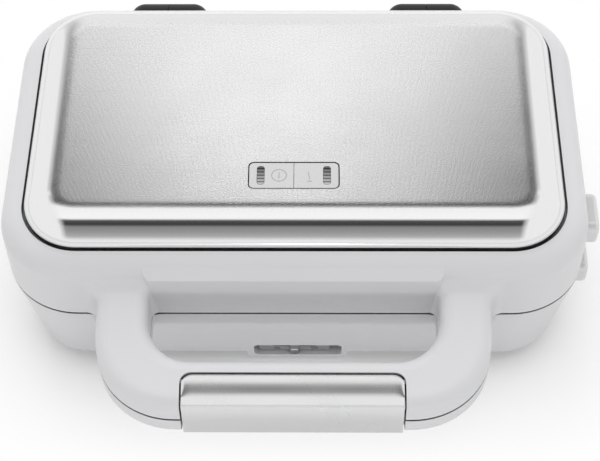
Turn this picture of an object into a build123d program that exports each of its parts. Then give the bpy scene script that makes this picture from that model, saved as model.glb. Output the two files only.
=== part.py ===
from build123d import *
import os
from math import atan2, cos, degrees, radians, sin

os.makedirs("parts", exist_ok=True)

# Millimetres, +Z up, +X to the right of a person who stands in front, -Y towards that person.
# The pieces are drawn round the middle of the body. The finished object's origin is on the table
# under the middle of its whole outline, handle, hinges and buttons included.
TO_ORIGIN = Pos(-3.0, 15.5, 0)

# Driving dimensions of the body
BODY_WIDTH = 274.0            # at the split line
BODY_DEPTH = 166.0
BODY_CORNER = 36.0            # plan radius at the split line
SPLIT_Z = 53.0                # the lid meets the base here
SPLIT_GAP = 0.6
FOOT_HEIGHT = 10.0            # the base's lower edge stands this high
FOOT_TAPER_X = 0.2225         # mm of draw-in per mm of height below the split line
FOOT_TAPER_Y = 0.150
FOOT_TAPER_CORNER = 0.21
WALL = 2.5
SHOULDER_RADIUS = 11.0        # rounding between the lid's side and its top
LID_TOP_Z = 90.0

# Driving dimensions of the steel cover
COVER_WIDTH = 250.0
COVER_DEPTH = 144.7
COVER_CORNER = 26.0
COVER_BEVEL_IN = 17.0         # how far the rounded border reaches inwards
COVER_RISE = 12.0             # how far it rises
COVER_GAP = 1.2               # dark line between cover and housing
COVER_SKIRT = 3.8             # part of the skirt that sits below the housing's top
STEEL = 0.8

# Driving dimensions of the handle
HANDLE_HALF_WIDTH = 90.0
HANDLE_FRONT_Y = -140.0
HANDLE_CORNER = 37.0
GRIP_HALF_WIDTH = 66.3        # of the finger gap
GRIP_FRONT_Y = -116.0
GRIP_CORNER = 20.0
OUTER_WEB = 8.0               # plan radius where an arm meets the front wall, outside
INNER_WEB = 4.0               # the same on the finger gap's side
HANDLE_BOTTOM_Z = 41.0
HANDLE_TOP_Z = 66.5           # at the front lip; it climbs to the lid's shoulder
CLIP_HALF_WIDTH = 49.5

# Driving dimensions of the cooking plates
PLATE_WIDTH = 246.0
PLATE_DEPTH = 140.0
PLATE_CORNER = 17.0
WELL_WIDTH = 100.0
WELL_DEPTH_Y = 112.0
WELL_SINK = 16.3              # how deep a well is
WELL_DRAFT = 14.0             # degrees
RIDGE_HALF_WIDTH = 5.0        # between the two wells
PLATE_WALL = 2.5
PLATE_GAP = 0.3               # between the two plates when the lid is shut

# Driving dimensions of the hinge
HINGE_Y = 100.0
HINGE_Z = 58.0
HINGE_X = 68.0                # where the two knuckles of a hinge meet
HINGE_RADIUS = 9.0
HINGE_HALF_LENGTH = 20.0
PIN_RADIUS = 2.0
RUNNING_GAP = 0.08

BASE_TOP_Z = SPLIT_Z - SPLIT_GAP / 2
LID_BOTTOM_Z = SPLIT_Z + SPLIT_GAP / 2
BASE_LOW_Z = FOOT_HEIGHT

mirror_plane = Plane.XY.offset(SPLIT_Z)


def slab(width, depth, corner, z0, z1, centre_y=0.0):
    """A plate with rounded corners in plan, from z0 to z1."""
    outline = RectangleRounded(width, depth, corner)
    return extrude(Plane((0, centre_y, z0)) * outline, z1 - z0)


def block(x0, x1, y0, y1, z0, z1):
    """A plain box between two corners."""
    middle = ((x0 + x1) / 2, (y0 + y1) / 2, (z0 + z1) / 2)
    return Pos(*middle) * Box(x1 - x0, y1 - y0, z1 - z0)


def rod(start, end, radius):
    """A round bar from one point to another."""
    start, end = Vector(*start), Vector(*end)
    plane = Plane(start, z_dir=end - start)
    return extrude(plane * Circle(radius), (end - start).length)


def side_profile(points, x0, x1):
    """A closed outline of (y, z) points, run along X from x0 to x1."""
    face = make_face(Polyline([(x0, y, z) for y, z in points], close=True))
    return extrude(face, x1 - x0, dir=(1, 0, 0))


def pan_screw(head_at, direction, head_radius, head_height, shank_radius, shank_length):
    """A screw: a low domed head and a plain shank that runs along direction."""
    along = Vector(*direction).normalized()
    start = Vector(*head_at)
    head = rod(start - along * head_height, start, head_radius)
    shank = rod(start, start + along * shank_length, shank_radius)
    return head + shank


def flipped(shape):
    """The lid's copy of a base piece, mirrored in the split plane."""
    return mirror(shape, about=mirror_plane)


def group(shapes):
    """Separate solids that share one node."""
    return Compound(list(shapes))


def base_section(z, inset=0.0):
    """The base's plan outline at a height: it draws in towards the feet."""
    drop = BASE_TOP_Z - z
    width = BODY_WIDTH - 2 * FOOT_TAPER_X * drop - 2 * inset
    depth = BODY_DEPTH - 2 * FOOT_TAPER_Y * drop - 2 * inset
    corner = BODY_CORNER - FOOT_TAPER_CORNER * drop - inset
    return Plane.XY.offset(z) * RectangleRounded(width, depth, corner)


def base_form(z0, z1, inset=0.0):
    return loft([base_section(z0, inset), base_section(z1, inset)], ruled=True)


# Base tub

TONGUE_X0, TONGUE_X1 = -24.0, 26.0      # the front skirt runs lower here, for the slider
TONGUE_LOW_Z = 3.5
TONGUE_TOP_Z = 20.0
TONGUE_DRAFT = 1.5
TONGUE_BACK_Y = -60.0
RECESS_X0, RECESS_X1 = -20.2, 22.7
RECESS_Z0, RECESS_Z1 = 6.0, 17.0
RECESS_BACK_Y = -63.0
LAND_THICK = 2.8                        # flat ledge round the plate
APERTURE_WIDTH = PLATE_WIDTH + 2.0
APERTURE_DEPTH = PLATE_DEPTH + 2.0
COVER_THICK = 2.2                       # of the bottom cover
SEAM_ROUND = 0.7

BUTTON_Y0, BUTTON_Y1 = -50.0, -28.0
BUTTON_Z0, BUTTON_Z1 = 30.0, 44.0       # lower button; the upper one is its mirror image
BUTTON_CORNER = 4.0
BUTTON_GAP = 0.35
BUTTON_TRAVEL = 3.0

POST_X, POST_Y = 110.0, 60.0            # posts that the bottom cover screws into
POST_TOP_Z = 23.4
POST_RADIUS = 4.0
SCREW_BORE = 1.3

GLAND_Z = 28.0
GLAND_RADIUS = 6.5
GLAND_BORE = 3.4


HANDLE_REAR_Y = -76.0                   # the arms run this far into the body
HANDLE_LOW_ROUND = 5.0
LOWER_WEB_Y = -81.0                     # the drafted front wall at the handle's height


def button_outline(grow):
    """The release button's outline in the YZ plane, seen from the right."""
    centre = ((BUTTON_Y0 + BUTTON_Y1) / 2, (BUTTON_Z0 + BUTTON_Z1) / 2)
    width = BUTTON_Y1 - BUTTON_Y0 + 2 * grow
    height = BUTTON_Z1 - BUTTON_Z0 + 2 * grow
    return Pos(*centre) * RectangleRounded(width, height, BUTTON_CORNER + grow)


def button_bar(x0, x1, grow=0.0):
    return extrude(Plane.YZ.offset(x0) * button_outline(grow), x1 - x0)


def arm_web(x, outward, radius, wall_y):
    """Plan of the web that rounds the corner between an arm's side and the front wall."""
    into_wall = 5.0
    into_arm = 0.5
    centre = (x + outward * (radius - into_arm) / 2, wall_y + (into_wall - radius) / 2)
    web = Pos(*centre) * Rectangle(radius + into_arm, radius + into_wall)
    return web - Pos(x + outward * radius, wall_y - radius) * Circle(radius)


def handle_loop(z0, z1, wall_y):
    """The D of the handle in plan, from the body's front wall to the grip bar."""
    loop = RectangleRounded(2 * HANDLE_HALF_WIDTH, -2 * HANDLE_FRONT_Y, HANDLE_CORNER)
    loop -= RectangleRounded(2 * GRIP_HALF_WIDTH, -2 * GRIP_FRONT_Y, GRIP_CORNER)
    front_half = Pos(0, HANDLE_REAR_Y - 50) * Rectangle(300, 100)
    loop &= front_half
    for sign in (-1, 1):
        loop += arm_web(sign * HANDLE_HALF_WIDTH, sign, OUTER_WEB, wall_y) & front_half
        loop += arm_web(sign * GRIP_HALF_WIDTH, -sign, INNER_WEB, wall_y) & front_half
    return extrude(Plane.XY.offset(z0) * loop, z1 - z0)


# Closing clip of the handle: section in the YZ plane

CLIP_AXIS_Y, CLIP_AXIS_Z = -127.2, 65.2
CLIP_BARREL = 2.6
CLIP_PIN_RADIUS = 1.25
CLIP_SWING_GAP = 0.7
CLIP_REAR_Y = CLIP_AXIS_Y + CLIP_BARREL
CLIP_FRONT_Y = -139.7
CLIP_INNER_Y = -137.4
CLIP_LIP_Z = 66.9
CLIP_BOTTOM_Z = 41.2
CLIP_CORNER = 5.0                       # plan radius of its two rear corners
CLIP_SIDE_GAP = 0.8
POCKET_FRONT_Y = -135.2                 # the handle's front inside the clip
POCKET_TOP_Z = 62.2
RIB_TIP_Y = -136.2                      # the rib on the lower handle half that the clip snaps over
RIB_Z0, RIB_Z1 = 44.8, 46.8
HOOK_TIP_Y = -136.6
HOOK_TOP_Z = 44.2


def clip_pocket(z0, z1):
    """Room for the clip in the handle, between two heights."""
    half = CLIP_HALF_WIDTH + CLIP_SIDE_GAP
    front = side_profile(
        [
            (-150, 30), (POCKET_FRONT_Y, 30), (POCKET_FRONT_Y, POCKET_TOP_Z),
            (CLIP_AXIS_Y, POCKET_TOP_Z), (CLIP_AXIS_Y, 90), (-150, 90),
        ],
        -half, half,
    )
    swing = rod((-half, CLIP_AXIS_Y, CLIP_AXIS_Z), (half, CLIP_AXIS_Y, CLIP_AXIS_Z),
                CLIP_BARREL + CLIP_SWING_GAP)
    above = block(-half, half, CLIP_AXIS_Y, CLIP_REAR_Y + CLIP_SWING_GAP, CLIP_AXIS_Z, 90)
    return (front + swing + above) & clip_plan(CLIP_SIDE_GAP, z0, z1)


def clip_plan(grow, z0, z1):
    """The clip seen from above: square in front, rounded at the two corners behind."""
    rear = CLIP_REAR_Y + min(grow, CLIP_SWING_GAP)
    length = rear + 150
    outline = Rectangle(2 * (CLIP_HALF_WIDTH + grow), length)
    corners = outline.vertices().group_by(Axis.Y)[-1]
    outline = fillet(corners, CLIP_CORNER)
    return extrude(Pos(0, rear - length / 2, z0) * outline, z1 - z0)


def rim_screw_bores():
    """Blind bores in the base's ledge for the screws of the reflector tray."""
    low, high = TRAY_TOP_Z - 1, TRAY_TOP_Z + 2.2
    return [
        rod((sx * RIM_SCREW_X, sy * RIM_SCREW_Y, low), (sx * RIM_SCREW_X, sy * RIM_SCREW_Y, high),
            RIM_SCREW_RADIUS)
        for sx in (-1, 1) for sy in (-1, 1)
    ]


def lower_handle():
    loop = handle_loop(HANDLE_BOTTOM_Z, BASE_TOP_Z, LOWER_WEB_Y)
    low_edges = loop.edges().group_by(Axis.Z)[0].filter_by(lambda e: e.center().Y < LOWER_WEB_Y - 1)
    loop = fillet(low_edges, HANDLE_LOW_ROUND)
    high_edges = loop.edges().group_by(Axis.Z)[-1].filter_by(lambda e: e.center().Y < LOWER_WEB_Y - 1)
    loop = fillet(high_edges, SEAM_ROUND)
    rib = side_profile(
        [
            (POCKET_FRONT_Y + 0.5, RIB_Z0), (RIB_TIP_Y, RIB_Z0 + 0.6),
            (RIB_TIP_Y, RIB_Z1 - 0.6), (POCKET_FRONT_Y + 0.5, RIB_Z1),
        ],
        -CLIP_HALF_WIDTH + 6, CLIP_HALF_WIDTH - 6,
    )
    return loop - clip_pocket(30, 90) + rib


def base_housing():
    shell = base_form(BASE_LOW_Z, BASE_TOP_Z)
    shell = fillet(shell.edges().group_by(Axis.Z)[-1], SEAM_ROUND)
    shell -= base_form(BASE_LOW_Z - 1, BASE_TOP_Z - LAND_THICK, WALL)
    shell -= slab(APERTURE_WIDTH, APERTURE_DEPTH, PLATE_CORNER + 1, BASE_TOP_Z - 5, BASE_TOP_Z + 1)
    # front skirt tongue with the slider recess
    trapezoid = Polyline(
        (TONGUE_X0, 0, TONGUE_TOP_Z), (TONGUE_X1, 0, TONGUE_TOP_Z), (TONGUE_X1, 0, BASE_LOW_Z),
        (TONGUE_X1 - TONGUE_DRAFT, 0, TONGUE_LOW_Z), (TONGUE_X0 + TONGUE_DRAFT, 0, TONGUE_LOW_Z),
        (TONGUE_X0, 0, BASE_LOW_Z), close=True,
    )
    tongue = extrude(Pos(0, TONGUE_BACK_Y, 0) * make_face(trapezoid), 30, dir=(0, -1, 0))
    tongue &= base_form(TONGUE_LOW_Z, BASE_TOP_Z)
    shell += tongue
    recess_middle = ((RECESS_X0 + RECESS_X1) / 2, RECESS_BACK_Y, (RECESS_Z0 + RECESS_Z1) / 2)
    recess_outline = RectangleRounded(RECESS_X1 - RECESS_X0, RECESS_Z1 - RECESS_Z0, 2.6)
    recess_plane = Plane(recess_middle, x_dir=(1, 0, 0), z_dir=(0, -1, 0))
    shell -= extrude(recess_plane * recess_outline, 20)
    # lower half of the handle
    inside = base_form(BASE_LOW_Z - 1, BASE_TOP_Z - LAND_THICK, WALL)
    shell += lower_handle() - inside
    # opening for the lower release button
    shell -= button_bar(120, 145, BUTTON_GAP)
    shell -= rim_screw_bores()
    # posts for the bottom cover, each tied to the corner by a rib
    posts = []
    for sx in (-1, 1):
        for sy in (-1, 1):
            post = Pos(sx * POST_X, sy * POST_Y, 0) * Cylinder(
                POST_RADIUS, POST_TOP_Z - BASE_LOW_Z - COVER_THICK,
                align=(Align.CENTER, Align.CENTER, Align.MIN))
            rib = Rot(0, 0, degrees(atan2(sy, sx))) * Pos(6, 0, 0) * Box(
                12, 2.0, POST_TOP_Z - BASE_LOW_Z - COVER_THICK,
                align=(Align.CENTER, Align.CENTER, Align.MIN))
            posts.append(Pos(0, 0, BASE_LOW_Z + COVER_THICK) * post)
            posts.append(Pos(sx * POST_X, sy * POST_Y, BASE_LOW_Z + COVER_THICK) * rib)
    for post in posts:
        shell += post & base_form(BASE_LOW_Z, BASE_TOP_Z - 1, 1.0)
    for sx in (-1, 1):
        for sy in (-1, 1):
            shell -= rod((sx * POST_X, sy * POST_Y, 11), (sx * POST_X, sy * POST_Y, POST_TOP_Z - 3), SCREW_BORE)
    # rear wall: gland hole and the screw holes of the fixed knuckles
    shell -= rod((0, 70, GLAND_Z), (0, 90, GLAND_Z), GLAND_RADIUS + 0.2)
    for x in base_knuckle_screw_x():
        shell -= rod((x, 70, BASE_KNUCKLE_SCREW_Z), (x, 86, BASE_KNUCKLE_SCREW_Z), 1.6)
    return shell


# Bottom cover and feet

VENT_BANK_X = 58.0
VENT_COUNT = 9
VENT_PITCH = 9.0
VENT_LENGTH = 46.0
VENT_WIDTH = 3.2
FOOT_X, FOOT_Y = 92.0, 62.0
FOOT_RADIUS = 9.0


def base_bottom_cover():
    plate = base_form(BASE_LOW_Z, BASE_LOW_Z + COVER_THICK, WALL + 0.4)
    plate -= block(TONGUE_X0 - 0.6, TONGUE_X1 + 0.6, -90, TONGUE_BACK_Y + 0.6, 0, 20)
    vent = Pos(0, 0, BASE_LOW_Z + COVER_THICK / 2) * Box(VENT_LENGTH, VENT_WIDTH, COVER_THICK + 2)
    plate -= GridLocations(2 * VENT_BANK_X, VENT_PITCH, 2, VENT_COUNT) * vent
    for sx in (-1, 1):
        for sy in (-1, 1):
            plate -= rod((sx * POST_X, sy * POST_Y, 0), (sx * POST_X, sy * POST_Y, 20), 1.9)
            plate -= rod((sx * FOOT_X, sy * FOOT_Y, 0), (sx * FOOT_X, sy * FOOT_Y, 20), 3.2)
    return plate


def foot(x, y):
    """A rubber foot: a drafted pad, and a button that is pulled through the cover."""
    profile = Polyline(
        (0, 0), (FOOT_RADIUS - 2.2, 0), (FOOT_RADIUS - 1, 1.2), (FOOT_RADIUS, BASE_LOW_Z),
        (3.0, BASE_LOW_Z), (3.0, BASE_LOW_Z + COVER_THICK + 0.2),
        (4.4, BASE_LOW_Z + COVER_THICK + 0.2), (3.2, BASE_LOW_Z + COVER_THICK + 3), (0, BASE_LOW_Z + COVER_THICK + 3),
        close=True,
    )
    face = Plane.XZ * make_face(profile)
    return Pos(x, y, 0) * revolve(face, Axis.Z)


# Reflector trays, heating elements and cooking plates

TRAY_HALF_X, TRAY_HALF_Y = 118.0, 64.5   # inside the tray
TRAY_FLOOR_Z = 24.0
TRAY_SHEET = 0.8
TRAY_RIM_X, TRAY_RIM_Y = 131.0, 76.5
RIM_SCREW_X, RIM_SCREW_Y = 126.5, 40.0
RIM_SCREW_RADIUS = 1.1
TRAY_TOP_Z = BASE_TOP_Z - LAND_THICK
ELEMENT_RADIUS = 3.2
ELEMENT_Z = 29.4
ELEMENT_END_X = 12.0
LUG_X0, LUG_X1 = 115.4, 117.3
LUG_Y0, LUG_Y1 = -48.0, -39.0
LUG_LOW_Z = 38.0


def reflector_tray():
    outer = slab(2 * (TRAY_HALF_X + TRAY_SHEET), 2 * (TRAY_HALF_Y + TRAY_SHEET), 12.8,
                 TRAY_FLOOR_Z, TRAY_TOP_Z)
    rim = slab(2 * TRAY_RIM_X, 2 * TRAY_RIM_Y, 30, TRAY_TOP_Z - TRAY_SHEET, TRAY_TOP_Z)
    inner = slab(2 * TRAY_HALF_X, 2 * TRAY_HALF_Y, 12, TRAY_FLOOR_Z + TRAY_SHEET, TRAY_TOP_Z + 1)
    tray = outer + rim - inner
    # slots for the button's hook on the right and the plate's fixed lip on the left
    tray -= block(115, 122, LUG_Y0 - 3, LUG_Y1 + 2, 32, 44)
    tray -= block(-122, -115, LUG_Y0 - 1, LUG_Y1 + 1, LUG_LOW_Z - 0.6, LUG_LOW_Z + 2.6)
    for x in (-ELEMENT_END_X, ELEMENT_END_X):
        tray -= rod((x, 60, ELEMENT_Z), (x, 70, ELEMENT_Z), ELEMENT_RADIUS + 0.6)
    for sx in (-1, 1):
        for sy in (-1, 1):
            tray -= rod((sx * RIM_SCREW_X, sy * RIM_SCREW_Y, 45), (sx * RIM_SCREW_X, sy * RIM_SCREW_Y, 52), 1.4)
    return tray


def heating_element():
    """One bent tube that runs round under both wells, its two ends out at the rear."""
    z = ELEMENT_Z
    path = FilletPolyline(
        (-ELEMENT_END_X, 72, z), (-ELEMENT_END_X, 42, z), (-92, 42, z), (-92, -42, z),
        (92, -42, z), (92, 42, z), (ELEMENT_END_X, 42, z), (ELEMENT_END_X, 72, z),
        radius=14,
    )
    section = Plane(path @ 0, z_dir=path % 0) * Circle(ELEMENT_RADIUS)
    return sweep(section, path=path)


def well_form(grow, sink):
    """The drafted space of the right-hand well, or its outside when grown."""
    centre_x = RIDGE_HALF_WIDTH + WELL_WIDTH / 2
    mouth = RectangleRounded(WELL_WIDTH + 2 * grow, WELL_DEPTH_Y + 2 * grow, 14 + grow)
    top = BASE_TOP_Z + 0.15
    body = extrude(Plane((centre_x, 0, top)) * mouth, -sink, taper=WELL_DRAFT)
    return fillet(body.edges().group_by(Axis.Z)[0], 4.0)


def cooking_plate(bead_height):
    """A cast plate: flat rim, two wells, a bead or a groove round each well, lugs below."""
    top = SPLIT_Z - PLATE_GAP / 2
    plate = slab(PLATE_WIDTH, PLATE_DEPTH, PLATE_CORNER, TRAY_TOP_Z, top)
    plate = fillet(plate.edges().group_by(Axis.Z)[-1], 1.0)
    outside = well_form(PLATE_WALL, WELL_SINK + PLATE_WALL)
    inside = well_form(0.0, WELL_SINK)
    for side in (outside, mirror(outside, about=Plane.YZ)):
        plate += side & block(-130, 130, -80, 80, 20, top)
    for side in (inside, mirror(inside, about=Plane.YZ)):
        plate -= side
    centre_x = RIDGE_HALF_WIDTH + WELL_WIDTH / 2
    for sx in (-1, 1):
        ring_out = RectangleRounded(WELL_WIDTH + 6.4, WELL_DEPTH_Y + 6.4, 17.2)
        ring_in = RectangleRounded(WELL_WIDTH + 3.2, WELL_DEPTH_Y + 3.2, 15.6)
        ring = Plane((sx * centre_x, 0, top)) * (ring_out - ring_in)
        if bead_height > 0:
            plate += extrude(ring, bead_height)
        else:
            plate -= extrude(ring, bead_height)
    right_lug = side_profile_y(
        [
            (LUG_X0, TRAY_TOP_Z + 1), (LUG_X1, TRAY_TOP_Z + 1), (LUG_X1, LUG_LOW_Z),
            (LUG_X0 - 2.4, LUG_LOW_Z), (LUG_X0 - 2.4, LUG_LOW_Z + 1.2), (LUG_X0, LUG_LOW_Z + 2.0),
        ],
        LUG_Y0, LUG_Y1,
    )
    left_lug = side_profile_y(
        [
            (-LUG_X0, TRAY_TOP_Z + 1), (-LUG_X1, TRAY_TOP_Z + 1), (-LUG_X1, LUG_LOW_Z + 2.0),
            (-LUG_X1 - 2.6, LUG_LOW_Z + 1.2), (-LUG_X1 - 2.6, LUG_LOW_Z), (-LUG_X0, LUG_LOW_Z),
        ],
        LUG_Y0, LUG_Y1,
    )
    return plate + right_lug + left_lug


def side_profile_y(points, y0, y1):
    """A closed outline of (x, z) points, run along Y from y0 to y1."""
    face = make_face(Polyline([(x, y0, z) for x, z in points], close=True))
    return extrude(face, y1 - y0, dir=(0, 1, 0))


# Release buttons and their springs

BUTTON_FACE_X = 142.0
BUTTON_FLANGE_X0, BUTTON_FLANGE_X1 = 125.6, 127.2
BUTTON_SHELL = 2.0
HOOK_X0, HOOK_X1 = 109.6, 111.2
HOOK_TIP_X = 114.4
HOOK_Z0, HOOK_Z1 = 34.0, 43.0
SPRING_Y, SPRING_Z = -33.5, 37.0
SPRING_RADIUS = 3.0
SPRING_WIRE = 0.3             # half the height of the flat wire
SPRING_TURNS = 4


def release_button(face_x):
    """A silver cap with a retaining flange, and a hook that holds the plate's lug."""
    body = button_bar(BUTTON_FLANGE_X1 - 0.5, face_x)
    rim = body.edges().filter_by(lambda e: e.center().X > face_x - 0.01)
    body = fillet(rim, 2.2)
    flange = button_bar(BUTTON_FLANGE_X0, BUTTON_FLANGE_X1, 1.6)
    hook = side_profile_y(
        [
            (BUTTON_FLANGE_X1, HOOK_Z0), (BUTTON_FLANGE_X1, HOOK_Z0 + 2.6), (HOOK_X1, HOOK_Z0 + 2.6),
            (HOOK_X1, LUG_LOW_Z + 2.6), (HOOK_TIP_X, LUG_LOW_Z + 2.9), (HOOK_X1, HOOK_Z1),
            (HOOK_X0, HOOK_Z1), (HOOK_X0, HOOK_Z0),
        ],
        LUG_Y0 + 0.8, LUG_Y1 - 0.8,
    )
    spigot = rod((BUTTON_FLANGE_X0 - 1.2, SPRING_Y, SPRING_Z), (BUTTON_FLANGE_X1, SPRING_Y, SPRING_Z), 2.0)
    return body + flange + hook + spigot


def button_spring():
    """A flat-wire compression spring between the tray's wall and the button's flange."""
    start_x = TRAY_HALF_X + TRAY_SHEET + SPRING_WIRE + 0.05
    length = BUTTON_FLANGE_X0 - start_x - SPRING_WIRE - 0.05
    path = Helix(length / SPRING_TURNS, length, SPRING_RADIUS,
                 center=(start_x, SPRING_Y, SPRING_Z), direction=(1, 0, 0))
    section = Plane(path @ 0, x_dir=(1, 0, 0), z_dir=path % 0) * Rectangle(2 * SPRING_WIRE, 2 * SPRING_WIRE)
    return sweep(section, path=path, is_frenet=True)


# Small parts inside the base

def thermostat():
    cup = Pos(40, 10, 0) * extrude(Plane.XY.offset(17.0) * Circle(8.0), 6.9)
    flange = Pos(40, 10, 0) * extrude(Plane.XY.offset(22.4) * SlotOverall(34, 10), 1.5)
    tabs = block(34.5, 36.0, 6.8, 13.2, 14, 17.5) + block(44.0, 45.5, 6.8, 13.2, 14, 17.5)
    return cup + flange + tabs


def thermal_fuse():
    can = rod((6, 34, 19.6), (24, 34, 19.6), 2.2)
    leads = rod((0, 34, 19.6), (30, 34, 19.6), 0.5)
    clamp = block(13, 17, 30.5, 37.5, 16.6, 23.9) - rod((12, 34, 19.6), (18, 34, 19.6), 2.15)
    return can + leads + (clamp & block(12, 18, 30, 38, 19.0, 23.9))


def terminal_block():
    z = BASE_LOW_Z + COVER_THICK
    body = block(24, 54, 56, 70, z, z + 9)
    for x in (30, 39, 48):
        body += Pos(x, 63, z + 9) * Cylinder(3.4, 2.4, align=(Align.CENTER, Align.CENTER, Align.MIN))
        body -= Pos(x, 63, z + 9) * Cylinder(2.2, 2.6, align=(Align.CENTER, Align.CENTER, Align.MIN))
    return body


def base_leads():
    """Insulated leads: block to fuse, fuse to thermostat, thermostat to element."""
    routes = [
        [(30, 55.9, 17), (30, 48, 17), (40, 34, 19.6), (30.1, 34, 19.6)],
        [(-0.1, 34, 19.6), (-10, 34, 19.6), (-10, 20, 15.5), (20, 10, 15.5), (34.4, 10, 15.5)],
        [(45.6, 10, 15.5), (60, 10, 15.5), (70, 24, 17), (70, 60, 17), (54.2, 60, 17)],
    ]
    return group(rounded_lead(points) for points in routes)


def rounded_lead(points):
    path = FilletPolyline(*points, radius=3.0)
    section = Plane(path @ 0, z_dir=path % 0) * Circle(1.1)
    return sweep(section, path=path)


def cord_gland():
    """A bush for the mains cord: flange and nose outside, groove in the wall."""
    wall_y = BODY_DEPTH / 2 - FOOT_TAPER_Y * (BASE_TOP_Z - GLAND_Z)
    body = rod((0, wall_y - WALL - 4, GLAND_Z), (0, wall_y + 12, GLAND_Z), GLAND_RADIUS)
    flange = rod((0, wall_y - 2, GLAND_Z), (0, wall_y + 3.4, GLAND_Z), 9.0) - base_form(BASE_LOW_Z, BASE_TOP_Z)
    keeper = rod((0, wall_y - WALL - 3.4, GLAND_Z), (0, wall_y, GLAND_Z), 8.0)
    keeper &= base_form(BASE_LOW_Z, BASE_TOP_Z, WALL + 0.05)
    body = body + flange + keeper
    nose = body.edges().filter_by(GeomType.CIRCLE).sort_by(Axis.Y)[-1]
    body = fillet(nose, 2.2)
    return body - rod((0, 60, GLAND_Z), (0, 100, GLAND_Z), GLAND_BORE)


# Heat selector on the front

BEZEL_X0, BEZEL_X1 = -17.8, 16.8
BEZEL_FRONT_Y = -73.6
BEZEL_THICK = 1.6
SLIDER_X = -0.5
SLIDER_HALF = 2.35
SLIDER_TRAVEL = 8.0
SLOT_Z = 11.5


def selector_bezel():
    middle = ((BEZEL_X0 + BEZEL_X1) / 2, BEZEL_FRONT_Y + BEZEL_THICK, SLOT_Z)
    plane = Plane(middle, x_dir=(1, 0, 0), z_dir=(0, -1, 0))
    outline = RectangleRounded(BEZEL_X1 - BEZEL_X0, RECESS_Z1 - RECESS_Z0 - 0.5, 2.3)
    plate = extrude(plane * outline, BEZEL_THICK)
    slot = SlotOverall(2 * SLIDER_TRAVEL + 6.4, 3.2)
    slot_plane = Plane((SLIDER_X, BEZEL_FRONT_Y + BEZEL_THICK + 1, SLOT_Z), x_dir=(1, 0, 0), z_dir=(0, -1, 0))
    return plate - extrude(slot_plane * slot, BEZEL_THICK + 2)


def selector_slider():
    nub = block(SLIDER_X - SLIDER_HALF, SLIDER_X + SLIDER_HALF, BEZEL_FRONT_Y - 2.4, BEZEL_FRONT_Y - 0.3,
                SLOT_Z - 4.6, SLOT_Z + 4.6)
    outer = nub.edges().filter_by(lambda e: e.center().Y < BEZEL_FRONT_Y - 2.39)
    nub = fillet(outer, 0.7)
    stem = block(SLIDER_X - 1.2, SLIDER_X + 1.2, BEZEL_FRONT_Y - 0.5, BEZEL_FRONT_Y + 5.4,
                 SLOT_Z - 1.2, SLOT_Z + 1.2)
    return nub + stem


def selector_switch():
    body = block(SLIDER_X - 14, SLIDER_X + 14, BEZEL_FRONT_Y + BEZEL_THICK + 0.2, RECESS_BACK_Y - 0.2,
                 SLOT_Z - 4.6, SLOT_Z + 4.6)
    track = block(SLIDER_X - SLIDER_TRAVEL - 2, SLIDER_X + SLIDER_TRAVEL + 2,
                  BEZEL_FRONT_Y, BEZEL_FRONT_Y + 6.4, SLOT_Z - 1.8, SLOT_Z + 1.8)
    return body - track


# Hinges

BASE_KNUCKLE_SCREW_Z = 38.0
LID_KNUCKLE_SCREW_Z = 68.0
KNUCKLE_GAP = 0.35
KNUCKLE_END = 7.0
ARM_BEND = 3.0                # rounding of the arm's bends


def base_knuckle_screw_x():
    inner = HINGE_X + HINGE_HALF_LENGTH / 2
    return (-inner - 5, -inner + 5, inner - 5, inner + 5)


def lid_knuckle_screw_x():
    inner = HINGE_X - HINGE_HALF_LENGTH / 2
    return (-inner - 5, -inner + 5, inner - 5, inner + 5)


def barrel(x_joint, x_end):
    """A hinge barrel that is full at the joint and domed towards its outer end."""
    direction = 1 if x_end > x_joint else -1
    x_full = x_end - direction * KNUCKLE_END
    profile = make_face(
        Line((x_joint, 0), (x_end, 0)) + Line((x_end, 0), (x_end, 4.2))
        + ThreePointArc((x_end, 4.2), (x_full + direction * 4.2, 7.6), (x_full, HINGE_RADIUS))
        + Line((x_full, HINGE_RADIUS), (x_joint, HINGE_RADIUS)) + Line((x_joint, HINGE_RADIUS), (x_joint, 0))
    )
    solid = revolve(Plane.XY * profile, Axis.X)
    return Pos(0, HINGE_Y, HINGE_Z) * solid


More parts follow.
